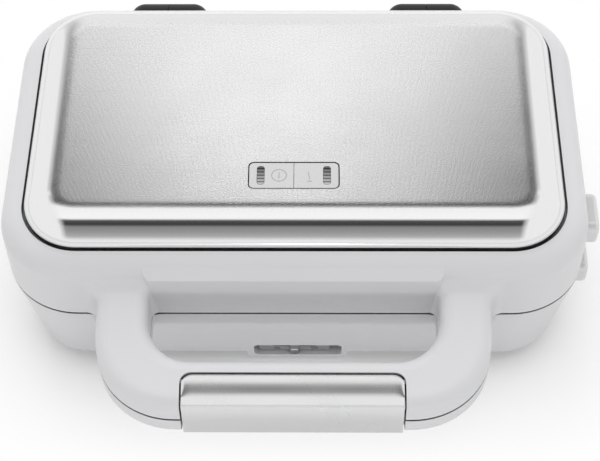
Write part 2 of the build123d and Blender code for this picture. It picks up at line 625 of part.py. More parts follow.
def knuckle(sign, lid_side):
    """One half of a hinge: a barrel on an arm that ends on its housing's rear wall."""
    outward = sign if not lid_side else -sign
    x_joint = sign * HINGE_X + outward * KNUCKLE_GAP / 2
    x_end = sign * HINGE_X + outward * HINGE_HALF_LENGTH
    x0, x1 = sorted((x_joint, x_end - outward * 1.5))
    if lid_side:
        outline = [(80, 61), (80, 77), (88, 76), (100, 66.8), (106, 60), (100, 52), (93, 55)]
    else:
        outline = [(74, 30), (88, 31), (106, 50), (108, 57), (100, 60), (91.5, 55), (86, 47.5), (74, 46)]
    arm = side_profile(outline, x0, x1)
    bends = arm.edges().filter_by(Axis.X).filter_by(lambda e: 86.5 < e.center().Y < 94)
    arm = fillet(bends, ARM_BEND)
    keep = rod((x0 - 5, HINGE_Y, HINGE_Z), (x1 + 5, HINGE_Y, HINGE_Z), HINGE_RADIUS)
    front = block(x0 - 5, x1 + 5, 60, HINGE_Y - 2, 20, 90)
    arm = (arm & front) + (arm & keep)
    solid = arm + barrel(x_joint, x_end)
    bore = PIN_RADIUS + RUNNING_GAP if lid_side else PIN_RADIUS
    solid -= rod((sign * HINGE_X - 25, HINGE_Y, HINGE_Z), (sign * HINGE_X + 25, HINGE_Y, HINGE_Z), bore)
    if lid_side:
        solid -= slab(BODY_WIDTH, BODY_DEPTH, BODY_CORNER, 40, LID_TOP_Z - SHOULDER_RADIUS)
        screw_z, screw_x = LID_KNUCKLE_SCREW_Z, lid_knuckle_screw_x()
    else:
        solid -= base_form(10, BASE_TOP_Z)
        screw_z, screw_x = BASE_KNUCKLE_SCREW_Z, base_knuckle_screw_x()
    for x in screw_x:
        solid -= rod((x, 70, screw_z), (x, 88, screw_z), 1.2)
    return solid


def hinge_pin(sign):
    reach = HINGE_HALF_LENGTH - 2.0
    return rod((sign * HINGE_X - reach, HINGE_Y, HINGE_Z), (sign * HINGE_X + reach, HINGE_Y, HINGE_Z), PIN_RADIUS)


# Lid housing

CLIP_PIN_REACH = 5.0
ARM_TOP_AT_LID = (-82.86, 78.55)        # (y, z) where the arm's top runs into the lid's shoulder
ARM_TOP_MIDDLE = (-110.0, 70.2)
ARM_TOP_AT_LIP = (-141.0, HANDLE_TOP_Z)
ARM_ROOT_ROUND = 9.0                    # soft corner between the arm's top and the shoulder
ARM_EDGE_ROUND = 6.5
BROW_START = (-78.7, 87.55)             # (y, z) where it leaves the shoulder, along its slope
BROW_Y, BROW_Z = -85.0, 82.5            # its crisp edge
BROW_FOOT_Y = -82.7
BROW_HALF_WIDTH = GRIP_HALF_WIDTH + 2.0
BROW_END_ROUND = 4.0                    # its ends sink into the arms' roots
UPPER_WEB_Y = -82.9
SEAT_Z = LID_TOP_Z - COVER_SKIRT - 0.2
SEAT_THICK = 2.0
INDICATOR_X, INDICATOR_Y0, INDICATOR_Y1 = 20.7, -47.2, -32.2
BOARD_Z = 94.0


def shoulder_point(angle):
    """A point just under the skin of the front shoulder, angle in degrees above level."""
    radius = SHOULDER_RADIUS - 0.13
    centre_y = -BODY_DEPTH / 2 + SHOULDER_RADIUS
    centre_z = LID_TOP_Z - SHOULDER_RADIUS
    return (0, centre_y - radius * cos(radians(angle)), centre_z + radius * sin(radians(angle)))


def arm_profile():
    """Side view of the upper half: it falls from the lid's shoulder to the front lip."""
    root = (0, *ARM_TOP_AT_LID)
    lip = (0, *ARM_TOP_AT_LIP)
    end = shoulder_point(62)
    edges = ThreePointArc(lip, (0, *ARM_TOP_MIDDLE), root) + ThreePointArc(root, shoulder_point(25), end)
    edges += Polyline(end, (0, end[1], LID_BOTTOM_Z - 1), (0, lip[1], LID_BOTTOM_Z - 1), lip)
    profile = make_face(edges)
    corner = profile.vertices().sort_by_distance(Vector(*root))[0]
    return fillet(corner, ARM_ROOT_ROUND)


def upper_handle():
    """The upper half of the D, with soft upper edges and room for the clip."""
    loop = handle_loop(LID_BOTTOM_Z, LID_TOP_Z, UPPER_WEB_Y)
    loop &= extrude(Pos(-150, 0, 0) * arm_profile(), 300, dir=(1, 0, 0))
    top = loop.faces().filter_by(GeomType.CYLINDER).sort_by(SortBy.AREA)[-1]
    rounded = top.edges().filter_by(lambda e: e.center().Y < UPPER_WEB_Y - OUTER_WEB)
    loop = fillet(rounded, ARM_EDGE_ROUND)
    low = loop.edges().group_by(Axis.Z)[0].filter_by(lambda e: e.center().Y < UPPER_WEB_Y - 1)
    loop = fillet(low, SEAM_ROUND)
    loop -= clip_pocket(30, 90)
    reach = CLIP_HALF_WIDTH + CLIP_PIN_REACH + 0.5
    return loop - rod((-reach, CLIP_AXIS_Y, CLIP_AXIS_Z), (reach, CLIP_AXIS_Y, CLIP_AXIS_Z), CLIP_PIN_RADIUS)


def lid_outer_form():
    form = slab(BODY_WIDTH, BODY_DEPTH, BODY_CORNER, LID_BOTTOM_Z, LID_TOP_Z)
    form = fillet(form.edges().group_by(Axis.Z)[-1], SHOULDER_RADIUS)
    return fillet(form.edges().group_by(Axis.Z)[0], SEAM_ROUND)


def lid_inner_form():
    form = slab(BODY_WIDTH - 2 * WALL, BODY_DEPTH - 2 * WALL, BODY_CORNER - WALL,
                LID_BOTTOM_Z + LAND_THICK, SEAT_Z - SEAT_THICK)
    return fillet(form.edges().group_by(Axis.Z)[-1], 8.0)


def lid_housing():
    shell = lid_outer_form()
    # brow above the finger gap: the shoulder runs out to a crisp edge between the arms
    brow = side_profile(
        [(-76, 85), BROW_START, (BROW_Y, BROW_Z), (BROW_FOOT_Y, LID_BOTTOM_Z), (-76, LID_BOTTOM_Z)],
        -BROW_HALF_WIDTH, BROW_HALF_WIDTH,
    )
    brow &= slab(2 * BROW_HALF_WIDTH, -2 * BROW_Y + 0.2, BROW_END_ROUND, LID_BOTTOM_Z - 1, LID_TOP_Z)
    shell += brow
    shell += upper_handle()
    shell -= lid_inner_form()
    shell -= slab(APERTURE_WIDTH, APERTURE_DEPTH, PLATE_CORNER + 1, LID_BOTTOM_Z - 1, LID_BOTTOM_Z + 5)
    # seat of the steel cover
    shell -= slab(COVER_WIDTH + 2 * COVER_GAP, COVER_DEPTH + 2 * COVER_GAP, COVER_CORNER + COVER_GAP,
                  SEAT_Z, LID_TOP_Z + 5)
    # opening for the upper release button
    shell -= flipped(button_bar(120, 145, BUTTON_GAP))
    for bore in rim_screw_bores():
        shell -= flipped(bore)
    # posts of the indicator board
    for x in (-26, 26):
        post = rod((x, -48, SEAT_Z - 1), (x, -48, BOARD_Z - 0.8), 2.6)
        shell += post - rod((x, -48, SEAT_Z + 1), (x, -48, BOARD_Z), 0.9)
    for x in lid_knuckle_screw_x():
        shell -= rod((x, 70, LID_KNUCKLE_SCREW_Z), (x, 86, LID_KNUCKLE_SCREW_Z), 1.6)
    return shell


def cover_form(shrink):
    """The pressing's outer skin, or its inside when shrunk by the sheet's thickness."""
    rim_w, rim_d, rim_r = COVER_WIDTH - 2 * shrink, COVER_DEPTH - 2 * shrink, COVER_CORNER - shrink
    top_w, top_d = rim_w - 2 * COVER_BEVEL_IN, rim_d - 2 * COVER_BEVEL_IN
    top_r = rim_r - COVER_BEVEL_IN
    skirt_low = LID_TOP_Z - COVER_SKIRT - (1 if shrink else 0)
    skirt = slab(rim_w, rim_d, rim_r, skirt_low, LID_TOP_Z)
    rim = Plane.XY.offset(LID_TOP_Z) * RectangleRounded(rim_w, rim_d, rim_r)
    plateau = Plane.XY.offset(LID_TOP_Z + COVER_RISE - shrink) * RectangleRounded(top_w, top_d, top_r)
    form = skirt + loft([rim, plateau], ruled=True)
    top_edges = form.edges().group_by(Axis.Z)[-1]
    form = fillet(top_edges, 16.0)
    bend = form.edges().filter_by(lambda e: abs(e.center().Z - LID_TOP_Z) < 0.01)
    return fillet(bend, 6.0)


def lid_cover():
    sheet = cover_form(0.0) - cover_form(STEEL)
    window = block(-INDICATOR_X, INDICATOR_X, INDICATOR_Y0, INDICATOR_Y1, 95, 110)
    window = fillet(window.edges().filter_by(Axis.Z), 2.4)
    return sheet - window


# Indicators

TILE_GAP = 0.25
LENS_X = 15.2
LENS_HALF_X = 1.8
LENS_HALF_Y = 5.4
LENS_FOOT_Z = 97.8
LENS_Y = (INDICATOR_Y0 + INDICATOR_Y1) / 2
TILE_TOP_Z = LID_TOP_Z + COVER_RISE + 0.4


def indicator_tile(sign):
    x0, x1 = sorted((sign * TILE_GAP / 2, sign * (INDICATOR_X - TILE_GAP)))
    tile = block(x0, x1, INDICATOR_Y0 + TILE_GAP, INDICATOR_Y1 - TILE_GAP, 98.6, TILE_TOP_Z)
    outer = tile.edges().filter_by(Axis.Z).filter_by(lambda e: abs(e.center().X) > 5)
    tile = fillet(outer, 2.2)
    slot = Pos(sign * LENS_X, LENS_Y, 95) * RectangleRounded(2 * LENS_HALF_X, 2 * LENS_HALF_Y, 1.5)
    return tile - extrude(slot, 12)


def lens(sign):
    """A light pipe with a ribbed top, its foot just above its lamp."""
    outline = RectangleRounded(2 * LENS_HALF_X - 0.3, 2 * LENS_HALF_Y - 0.3, 1.3)
    pipe = extrude(Pos(sign * LENS_X, LENS_Y, LENS_FOOT_Z) * outline, TILE_TOP_Z - LENS_FOOT_Z + 0.1)
    for i in range(5):
        y = LENS_Y + (i - 2) * 1.9
        pipe -= block(sign * LENS_X - 3, sign * LENS_X + 3, y - 0.35, y + 0.35, TILE_TOP_Z - 0.6, TILE_TOP_Z + 1)
    return pipe


def indicator_board():
    board = block(-30, 30, -52, -30, BOARD_Z - 0.8, BOARD_Z + 0.8)
    for x in (-26, 26):
        board -= rod((x, -48, BOARD_Z - 2), (x, -48, BOARD_Z + 2), 1.3)
    return board


def indicator_lamps():
    lamps = []
    for sign in (-1, 1):
        x = sign * LENS_X
        lamps.append(rod((x, LENS_Y - 4, BOARD_Z + 2.2), (x, LENS_Y + 4, BOARD_Z + 2.2), 1.4)
                     & block(-30, 30, -60, -20, BOARD_Z + 0.8, BOARD_Z + 5))
    return group(lamps)


# Closing clip

def handle_clip():
    """A pressed cap over the grip: pivot barrel, scooped top, sharp lip, front and snap hook."""
    axis_y, axis_z = CLIP_AXIS_Y, CLIP_AXIS_Z
    top_start = (0, axis_y, axis_z + CLIP_BARREL)
    lip = (0, CLIP_FRONT_Y, CLIP_LIP_Z)
    scoop = ThreePointArc(top_start, (0, (axis_y + CLIP_FRONT_Y) / 2, axis_z + 1.3), lip)
    edges = scoop + Polyline(
        lip, (0, CLIP_FRONT_Y, CLIP_BOTTOM_Z), (0, HOOK_TIP_Y - 0.4, CLIP_BOTTOM_Z),
        (0, HOOK_TIP_Y, HOOK_TOP_Z - 0.8), (0, CLIP_INNER_Y, HOOK_TOP_Z),
        (0, CLIP_INNER_Y, POCKET_TOP_Z + 1.2), (0, axis_y, POCKET_TOP_Z + 0.7), top_start,
    )
    face = make_face(edges)
    solid = extrude(Pos(-CLIP_HALF_WIDTH, 0, 0) * face, 2 * CLIP_HALF_WIDTH, dir=(1, 0, 0))
    half = CLIP_HALF_WIDTH
    solid += rod((-half, axis_y, axis_z), (half, axis_y, axis_z), CLIP_BARREL)
    solid &= clip_plan(0, 30, 90)
    return solid - rod((-half - 1, axis_y, axis_z), (half + 1, axis_y, axis_z), CLIP_PIN_RADIUS + RUNNING_GAP)


def clip_pivot_pin():
    reach = CLIP_HALF_WIDTH + CLIP_PIN_REACH
    return rod((-reach, CLIP_AXIS_Y, CLIP_AXIS_Z), (reach, CLIP_AXIS_Y, CLIP_AXIS_Z), CLIP_PIN_RADIUS)


# Screws

def bottom_screws():
    return group(
        pan_screw((sx * POST_X, sy * POST_Y, BASE_LOW_Z - 0.05), (0, 0, 1), 3.0, 1.8, 1.2, 9.0)
        for sx in (-1, 1) for sy in (-1, 1))


def base_tray_screws():
    return group(
        pan_screw((sx * RIM_SCREW_X, sy * RIM_SCREW_Y, TRAY_TOP_Z - TRAY_SHEET - 0.05), (0, 0, 1),
                  2.4, 1.4, RIM_SCREW_RADIUS, 2.6)
        for sx in (-1, 1) for sy in (-1, 1))


def base_hinge_screws():
    wall = BODY_DEPTH / 2 - FOOT_TAPER_Y * (BASE_TOP_Z - BASE_KNUCKLE_SCREW_Z) - WALL
    return group(
        pan_screw((x, wall - 0.5, BASE_KNUCKLE_SCREW_Z), (0, 1, 0), 2.8, 1.6, 1.15, 8.0)
        for x in base_knuckle_screw_x())


def lid_hinge_screws():
    wall = BODY_DEPTH / 2 - WALL
    return group(
        pan_screw((x, wall - 0.1, LID_KNUCKLE_SCREW_Z), (0, 1, 0), 2.8, 1.6, 1.15, 7.0)
        for x in lid_knuckle_screw_x())


def board_screws():
    return group(
        pan_screw((x, -48, BOARD_Z + 0.85), (0, 0, -1), 2.2, 1.2, 0.85, 6.0) for x in (-26, 26))


pieces = {
    "base_housing": base_housing(),
    "base_bottom_cover": base_bottom_cover(),
    "foot_front_left": foot(-FOOT_X, -FOOT_Y),
    "foot_front_right": foot(FOOT_X, -FOOT_Y),
    "foot_rear_left": foot(-FOOT_X, FOOT_Y),
    "foot_rear_right": foot(FOOT_X, FOOT_Y),
    "base_reflector_tray": reflector_tray(),
    "lower_heating_element": heating_element(),
    "lower_plate": cooking_plate(-1.2),
    "thermostat": thermostat(),
    "thermal_fuse": thermal_fuse(),
    "terminal_block": terminal_block(),
    "base_leads": base_leads(),
    "cord_gland": cord_gland(),
    "selector_bezel": selector_bezel(),
    "selector_switch": selector_switch(),
    "selector_slider": selector_slider(),
    "base_hinge_left": knuckle(-1, False),
    "base_hinge_right": knuckle(1, False),
    "hinge_pin_left": hinge_pin(-1),
    "hinge_pin_right": hinge_pin(1),
    "bottom_screws": bottom_screws(),
    "base_tray_screws": base_tray_screws(),
    "base_hinge_screws": base_hinge_screws(),
    "lid_housing": lid_housing(),
    "lid_cover": lid_cover(),
    "lid_reflector_tray": flipped(reflector_tray()),
    "upper_heating_element": flipped(heating_element()),
    "upper_plate": flipped(cooking_plate(0.8)),
    "indicator_tile_left": indicator_tile(-1),
    "indicator_tile_right": indicator_tile(1),
    "power_lens": lens(-1),
    "ready_lens": lens(1),
    "indicator_board": indicator_board(),
    "indicator_lamps": indicator_lamps(),
    "lid_hinge_left": knuckle(-1, True),
    "lid_hinge_right": knuckle(1, True),
    "lid_tray_screws": flipped(base_tray_screws()),
    "lid_hinge_screws": lid_hinge_screws(),
    "board_screws": board_screws(),
    "clip_pivot_pin": clip_pivot_pin(),
    "handle_clip": handle_clip(),
    "lower_release_button": release_button(BUTTON_FACE_X),
    "lower_button_spring": button_spring(),
    "upper_release_button": flipped(release_button(BUTTON_FACE_X + 1.0)),
    "upper_button_spring": flipped(button_spring()),
}

for name, shape in pieces.items():
    export_step(TO_ORIGIN * shape, f"parts/{name}.step")
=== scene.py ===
import math

import bmesh
import bpy
from mathutils import Matrix, Vector


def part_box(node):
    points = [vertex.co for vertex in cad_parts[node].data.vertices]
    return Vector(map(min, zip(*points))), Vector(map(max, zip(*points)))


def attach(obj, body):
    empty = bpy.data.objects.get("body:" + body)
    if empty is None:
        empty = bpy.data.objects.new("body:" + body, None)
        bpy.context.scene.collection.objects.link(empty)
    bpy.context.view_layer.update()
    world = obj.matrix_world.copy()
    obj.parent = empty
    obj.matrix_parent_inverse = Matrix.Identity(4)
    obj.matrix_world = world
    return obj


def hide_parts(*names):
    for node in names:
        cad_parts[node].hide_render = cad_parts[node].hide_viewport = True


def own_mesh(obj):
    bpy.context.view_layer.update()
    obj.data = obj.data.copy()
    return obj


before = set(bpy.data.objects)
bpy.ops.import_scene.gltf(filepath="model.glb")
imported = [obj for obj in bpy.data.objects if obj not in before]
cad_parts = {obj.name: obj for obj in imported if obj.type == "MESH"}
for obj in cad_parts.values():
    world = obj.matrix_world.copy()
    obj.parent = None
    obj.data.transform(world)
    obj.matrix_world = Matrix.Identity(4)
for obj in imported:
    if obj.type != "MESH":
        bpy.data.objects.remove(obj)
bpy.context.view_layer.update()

# Camera
# The view is from above the front edge, a little right of the middle, through a long lens
# about 0.85 m away, so that the upright sides hardly converge.

VIEW_PITCH = math.radians(53.638)
VIEW_YAW = math.radians(-1.212)
VIEW_ROLL = math.radians(-0.92)
CAMERA_FROM_BODY = (0.012094, -0.496906, 0.680895)
SENSOR_WIDTH_MM = 36.0
LENS_MM = 96.47

cover_low, cover_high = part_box("lid_cover")
body_x = (cover_low[0] + cover_high[0]) / 2
body_y = (cover_low[1] + cover_high[1]) / 2
forward = Vector((
    math.sin(VIEW_YAW) * math.cos(VIEW_PITCH),
    math.cos(VIEW_YAW) * math.cos(VIEW_PITCH),
    -math.sin(VIEW_PITCH),
))
level = Vector((math.cos(VIEW_YAW), -math.sin(VIEW_YAW), 0.0))
upward = level.cross(forward)
right = level * math.cos(VIEW_ROLL) + upward * math.sin(VIEW_ROLL)
upright = upward * math.cos(VIEW_ROLL) - level * math.sin(VIEW_ROLL)
camera_place = (body_x + CAMERA_FROM_BODY[0], body_y + CAMERA_FROM_BODY[1], CAMERA_FROM_BODY[2])

camera_data = bpy.data.cameras.new("camera")
camera_data.sensor_width = SENSOR_WIDTH_MM
camera_data.lens = LENS_MM
camera_data.clip_start = 0.01
camera = bpy.data.objects.new("camera", camera_data)
bpy.context.scene.collection.objects.link(camera)
camera.matrix_world = (
    Matrix.Translation(camera_place) @ Matrix((right, upright, -forward)).transposed().to_4x4()
)
bpy.context.scene.camera = camera
bpy.context.scene.view_settings.view_transform = "Standard"

# Room
# A white sweep under an even white sky. Shiny surfaces see the studio's panels: a bright one
# behind the object, a dark ceiling, a bright strip above the front and a grey card below it.


def feed(links, socket, value):
    """Joins a socket to another socket, or sets it to a plain value."""
    if isinstance(value, bpy.types.NodeSocket):
        links.new(value, socket)
    else:
        socket.default_value = value


def graded(nodes, links, value, name, stops):
    """A grey that follows a value, straight between stops of (value, grey)."""
    ramp = nodes.new("ShaderNodeValToRGB")
    ramp.label = name
    ramp.color_ramp.interpolation = "LINEAR"
    elements = ramp.color_ramp.elements
    while len(elements) < len(stops):
        elements.new(0.5)
    for element, (position, grey) in zip(elements, stops):
        element.position = position
        element.color = (grey, grey, grey, 1.0)
    links.new(value, ramp.inputs[0])
    return ramp.outputs["Color"]


def math_node(nodes, links, operation, *values):
    node = nodes.new("ShaderNodeMath")
    node.operation = operation
    for socket, value in zip(node.inputs, values):
        feed(links, socket, value)
    return node.outputs[0]


def map_range(nodes, links, value, from_low, from_high, to_low=0.0, to_high=1.0):
    """A value carried from one range to another and held at its ends."""
    node = nodes.new("ShaderNodeMapRange")
    node.inputs["From Min"].default_value = from_low
    node.inputs["From Max"].default_value = from_high
    node.inputs["To Min"].default_value = to_low
    node.inputs["To Max"].default_value = to_high
    links.new(value, node.inputs["Value"])
    return node.outputs["Result"]


def mix_colour(nodes, links, factor, first, second, blend="MIX"):
    """Two colours, each a socket or its red, green and blue, mixed by a factor."""
    mix = nodes.new("ShaderNodeMix")
    mix.data_type = "RGBA"
    mix.blend_type = blend
    links.new(factor, mix.inputs["Factor"])
    for name, colour in (("A", first), ("B", second)):
        feed(links, mix.inputs[name], (*colour, 1.0) if isinstance(colour, tuple) else colour)
    return mix.outputs["Result"]


def mix_shader(nodes, links, factor, first, second):
    mix = nodes.new("ShaderNodeMixShader")
    for socket, output in zip(mix.inputs, (factor, first, second)):
        links.new(output, socket)
    return mix.outputs[0]


WHITE = (1.0, 1.0, 1.0)
SKY_STRENGTH = 0.74
SKY_IN_FRONT, SKY_BEHIND = 0.70, 1.30
PANEL_TO_THE_LEFT = 0.0245
sky = bpy.data.worlds.new("studio_sky")
bpy.context.scene.world = sky
sky.use_nodes = True
nodes, links = sky.node_tree.nodes, sky.node_tree.links
nodes.clear()
direction = nodes.new("ShaderNodeSeparateXYZ")
links.new(nodes.new("ShaderNodeTexCoord").outputs["Generated"], direction.inputs[0])
turn = math_node(nodes, links, "ARCTAN2", direction.outputs["Z"], direction.outputs["Y"])
turn = math_node(nodes, links, "DIVIDE", turn, math.pi)
aside = math_node(nodes, links, "ADD", direction.outputs["X"], PANEL_TO_THE_LEFT)
aside = math_node(nodes, links, "ABSOLUTE", aside)
overhead = graded(nodes, links, turn, "from behind, over the top, to the front", [
    (0.00, 0.95), (0.22, 0.95), (0.25, 1.06), (0.270, 1.10), (0.301, 1.16), (0.314, 0.07),
    (0.355, 0.07), (0.385, 1.05), (0.52, 1.12), (0.55, 0.09), (0.61, 0.05), (0.65, 0.28),
    (0.74, 0.36), (0.84, 0.50), (0.93, 0.92), (1.00, 1.00),
])
panel_taper = graded(nodes, links, turn, "the rear panel narrows upwards", [
    (0.0, 0.2), (0.25, 0.3), (0.2646, 0.62), (0.2704, 0.80), (0.28, 0.94), (0.291, 1.0), (1.0, 1.0),
])
beside_panel = graded(
    nodes, links, math_node(nodes, links, "MULTIPLY", aside, panel_taper),
    "to either side of the rear panel", [
        (0.00, 1.0), (0.045, 1.0), (0.062, 0.93), (0.087, 0.60), (0.112, 0.34), (0.137, 0.20),
        (0.17, 0.09), (0.36, 0.09), (0.46, 0.95), (1.00, 1.0),
    ])
panel_height = graded(nodes, links, turn, "the rear panel's height", [
    (0.0, 1.0), (0.30, 1.0), (0.312, 0.0), (1.0, 0.0),
])
side_light = graded(nodes, links, aside, "bright open sides", [
    (0.0, 0.0), (0.33, 0.0), (0.49, 1.0), (1.0, 1.0),
])
panel_colour = mix_colour(nodes, links, panel_height, overhead, beside_panel, "MULTIPLY")
panel_colour = mix_colour(nodes, links, side_light, panel_colour, WHITE)
panels = nodes.new("ShaderNodeBackground")
links.new(panel_colour, panels.inputs["Color"])

even_sky = nodes.new("ShaderNodeBackground")
links.new(map_range(nodes, links, direction.outputs["Y"], -1.0, 1.0, SKY_IN_FRONT, SKY_BEHIND),
          even_sky.inputs["Color"])
even_sky.inputs["Strength"].default_value = SKY_STRENGTH
white_page = nodes.new("ShaderNodeBackground")
white_page.inputs["Color"].default_value = (*WHITE, 1.0)
light_path = nodes.new("ShaderNodeLightPath")
for_gloss = mix_shader(nodes, links, light_path.outputs["Is Glossy Ray"],
                       even_sky.outputs[0], panels.outputs[0])
seen = math_node(nodes, links, "MAXIMUM", light_path.outputs["Is Camera Ray"],
                 light_path.outputs["Is Transmission Ray"])
for_eye = mix_shader(nodes, links, seen, for_gloss, white_page.outputs[0])
links.new(for_eye, nodes.new("ShaderNodeOutputWorld").inputs[0])


def soft_lamp(name, place, target, size, watts):
    data = bpy.data.lights.new(name, "AREA")
    data.shape = "DISK"
    data.size = size
    data.energy = watts
    lamp = bpy.data.objects.new(name, data)
    bpy.context.scene.collection.objects.link(lamp)
    lamp.location = place
    lamp.rotation_euler = (Vector(target) - Vector(place)).to_track_quat("-Z", "Y").to_euler()
    lamp.visible_glossy = False


soft_lamp("rear_softbox", (-0.2, 1.3, 1.5), (0, 0, 0.05), 1.3, 9.0)
soft_lamp("top_softbox", (0.3, -0.3, 1.8), (0, 0, 0.05), 1.2, 4.5)
soft_lamp("low_fill", (0.0, -0.60, 0.02), (0, 0, 0.02), 0.06, 0.36)

FLOOR_HALF = 4.0
PAGE_HALF_X = 0.130
PAGE_HALF_Y = 0.078
PAGE_SQUARENESS = 4.0
floor_mesh = bpy.data.meshes.new("floor")
floor_mesh.from_pydata(
    [(-FLOOR_HALF, -FLOOR_HALF, 0), (FLOOR_HALF, -FLOOR_HALF, 0),
     (FLOOR_HALF, FLOOR_HALF, 0), (-FLOOR_HALF, FLOOR_HALF, 0)],
    [], [(0, 1, 2, 3)])
floor = bpy.data.objects.new("floor", floor_mesh)
bpy.context.scene.collection.objects.link(floor)
floor_paint = bpy.data.materials.new("floor_paint")
floor_paint.use_nodes = True
nodes, links = floor_paint.node_tree.nodes, floor_paint.node_tree.links
floor_shader = nodes["Principled BSDF"]
floor_shader.inputs["Base Color"].default_value = (0.97, 0.97, 0.97, 1.0)
floor_shader.inputs["Roughness"].default_value = 0.6
floor_shader.inputs["Specular IOR Level"].default_value = 0.2
spot = nodes.new("ShaderNodeSeparateXYZ")
links.new(nodes.new("ShaderNodeTexCoord").outputs["Object"], spot.inputs[0])
reach = []
for axis, centre, half in (("X", body_x, PAGE_HALF_X), ("Y", body_y, PAGE_HALF_Y)):
    offset = math_node(nodes, links, "SUBTRACT", spot.outputs[axis], centre)
    offset = math_node(nodes, links, "DIVIDE", offset, half)
    offset = math_node(nodes, links, "ABSOLUTE", offset)
    reach.append(math_node(nodes, links, "POWER", offset, PAGE_SQUARENESS))
away = math_node(nodes, links, "ADD", *reach)
away = math_node(nodes, links, "POWER", away, 1 / PAGE_SQUARENESS)
away = math_node(nodes, links, "MULTIPLY", away, 0.5)
# Painted light: for the eye the floor glows white away from the object, and less near it, so the object's
# shadow shows only close round it.
page_share = graded(nodes, links, away, "white page away from the object", [
    (0.0, 0.26), (0.52, 0.26), (0.60, 0.46), (0.70, 0.70), (0.80, 0.87), (0.875, 1.0), (1.0, 1.0),
])
page_share = math_node(nodes, links, "MULTIPLY",
                       nodes.new("ShaderNodeLightPath").outputs["Is Camera Ray"], page_share)
page_light = nodes.new("ShaderNodeEmission")
links.new(mix_shader(nodes, links, page_share, floor_shader.outputs[0], page_light.outputs[0]),
          nodes["Material Output"].inputs["Surface"])
floor_mesh.materials.append(floor_paint)

# Housings
# The base tub and the lid, each with its half of the D handle, are moulded in off-white
# plastic with a soft satin skin. They meet at the split line and hold every other piece.


def new_group(name, outputs, vectors=("Place",), **values):
    """A node group with its vector and value inputs and its value outputs, still empty inside."""
    group = bpy.data.node_groups.new(name, "ShaderNodeTree")
    for label in vectors:
        group.interface.new_socket(name=label, in_out="INPUT", socket_type="NodeSocketVector")
    for label, value in values.items():
        socket = group.interface.new_socket(
            name=label.replace("_", " "), in_out="INPUT", socket_type="NodeSocketFloat")
        socket.default_value = value
    for label in outputs:
        group.interface.new_socket(name=label, in_out="OUTPUT", socket_type="NodeSocketFloat")
    given = group.nodes.new("NodeGroupInput")
    result = group.nodes.new("NodeGroupOutput")
    return group, given.outputs, result.inputs


def noise(nodes, links, place, scale, detail, roughness=0.5):
    node = nodes.new("ShaderNodeTexNoise")
    node.inputs["Detail"].default_value = detail
    node.inputs["Roughness"].default_value = roughness
    links.new(place, node.inputs["Vector"])
    feed(links, node.inputs["Scale"], scale)
    return node.outputs["Fac"]


def build_moulded_skin():
    """Spark-eroded mould skin: a fine pebble for the bump, and slow drifts of gloss and tone."""
    group, given, result = new_group("moulded_skin", ("Pebble", "Drift"),
                                     Pebbles_per_metre=2200.0, Drift_per_metre=14.0)
    nodes, links = group.nodes, group.links
    links.new(noise(nodes, links, given["Place"], given["Pebbles per metre"], 3.0), result["Pebble"])
    links.new(noise(nodes, links, given["Place"], given["Drift per metre"], 2.0), result["Drift"])
    return group


moulded_skin = build_moulded_skin()


def new_finish(name, metallic=0.0, ior_level=0.5):
    """A material with its shader, its object coordinates and short ways to add to it."""
    material = bpy.data.materials.new(name)
    material.use_nodes = True
    tree = material.node_tree
    shader = tree.nodes["Principled BSDF"]
    shader.inputs["Metallic"].default_value = metallic
    shader.inputs["Specular IOR Level"].default_value = ior_level
    place = tree.nodes.new("ShaderNodeTexCoord").outputs["Object"]
    return material, tree.nodes, tree.links, shader, place


def use_group(nodes, links, group, place, **values):
    node = nodes.new("ShaderNodeGroup")
    node.node_tree = group
    links.new(place, node.inputs["Place"])
    for name, value in values.items():
        node.inputs[name.replace("_", " ")].default_value = value
    return node


def spread(nodes, links, mask, low, high):
    """A value that runs from low to high with a noise, which itself stays between 0.3 and 0.7."""
    return map_range(nodes, links, mask, 0.3, 0.7, low, high)


def bump(nodes, links, shader, height, depth, strength=1.0):
    node = nodes.new("ShaderNodeBump")
    node.inputs["Distance"].default_value = depth
    node.inputs["Strength"].default_value = strength
    links.new(height, node.inputs["Height"])
    links.new(node.outputs["Normal"], shader.inputs["Normal"])
    return node


# Painted shade for narrow gaps and the seam's lips: its darkest share, its colour, and the openness over
# which it fades.
PAINTED_SHADE_DARKEST = 0.02
PAINTED_SHADE_BLACK = (0.01, 0.01, 0.01)
GAP_SHUT, GAP_OPEN = 0.16, 0.46
LIP_SHUT, LIP_OPEN = 0.84, 0.99
SEAM_LIP = 0.0015


def build_painted_gap_shade():
    """How far a narrow gap shuts out the light: 1 in the open, near 0 deep in a gap between parts, for
    painting shade into a colour.

    The rounded lips of the seam between the halves count as deep while the lid is shut, so painted shade
    darkens them too.
    """
    group, given, result = new_group("painted_gap_shade", ("Open",), Reach=0.003, Seam_height=0.053)
    nodes, links = group.nodes, group.links
    shut = nodes.new("ShaderNodeAmbientOcclusion")
    shut.samples = 8
    links.new(given["Reach"], shut.inputs["Distance"])
    in_gap = map_range(nodes, links, shut.outputs["AO"], GAP_SHUT, GAP_OPEN, PAINTED_SHADE_DARKEST)
    on_lips = map_range(nodes, links, shut.outputs["AO"], LIP_SHUT, LIP_OPEN, PAINTED_SHADE_DARKEST)
    parts = nodes.new("ShaderNodeSeparateXYZ")
    links.new(given["Place"], parts.inputs[0])
    above = math_node(nodes, links, "SUBTRACT", parts.outputs["Z"], given["Seam height"])
    above = math_node(nodes, links, "ABSOLUTE", above)
    near_seam = math_node(nodes, links, "LESS_THAN", above, SEAM_LIP)
    chosen = nodes.new("ShaderNodeMix")
    links.new(near_seam, chosen.inputs["Factor"])
    links.new(in_gap, chosen.inputs["A"])
    links.new(on_lips, chosen.inputs["B"])
    links.new(chosen.outputs["Result"], result["Open"])
    return group


painted_gap_shade = build_painted_gap_shade()


